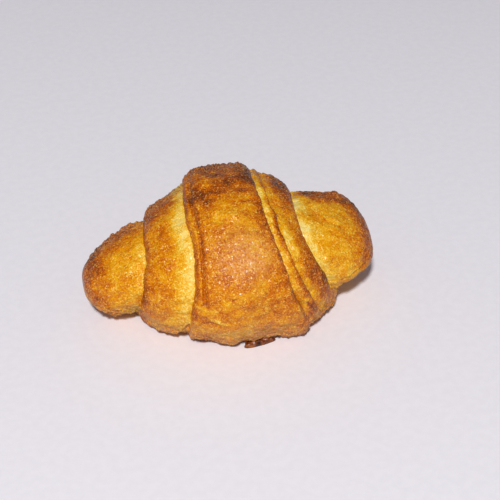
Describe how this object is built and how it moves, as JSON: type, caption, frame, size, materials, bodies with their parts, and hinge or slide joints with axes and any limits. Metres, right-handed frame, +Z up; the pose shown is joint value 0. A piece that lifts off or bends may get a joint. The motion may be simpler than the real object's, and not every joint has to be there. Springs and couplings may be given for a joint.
{
  "type": "filled croissant",
  "caption": "Baked turkey and cheese croissant: a rolled triangle of flaky dough with stepped bands, blunt ends, a flat base and a little browned cheese at its foot.",
  "frame": {"origin": "on the table under the middle of the bounding box", "axes": "+X along the roll towards its fuller end, -Y towards the side with the skewed seams, +Z up from the flat base"},
  "size_m": [0.14, 0.1001, 0.0657],
  "materials": {
    "baked_crust": "satin, egg-washed, golden to dark brown, pale yellow beside the seams",
    "browned_cheese": "glossy, reddish brown with a darker edge"
  },
  "bodies": {
    "root": {"croissant": "baked_crust", "browned_cheese": "browned_cheese"}
  },
  "joints": []
}
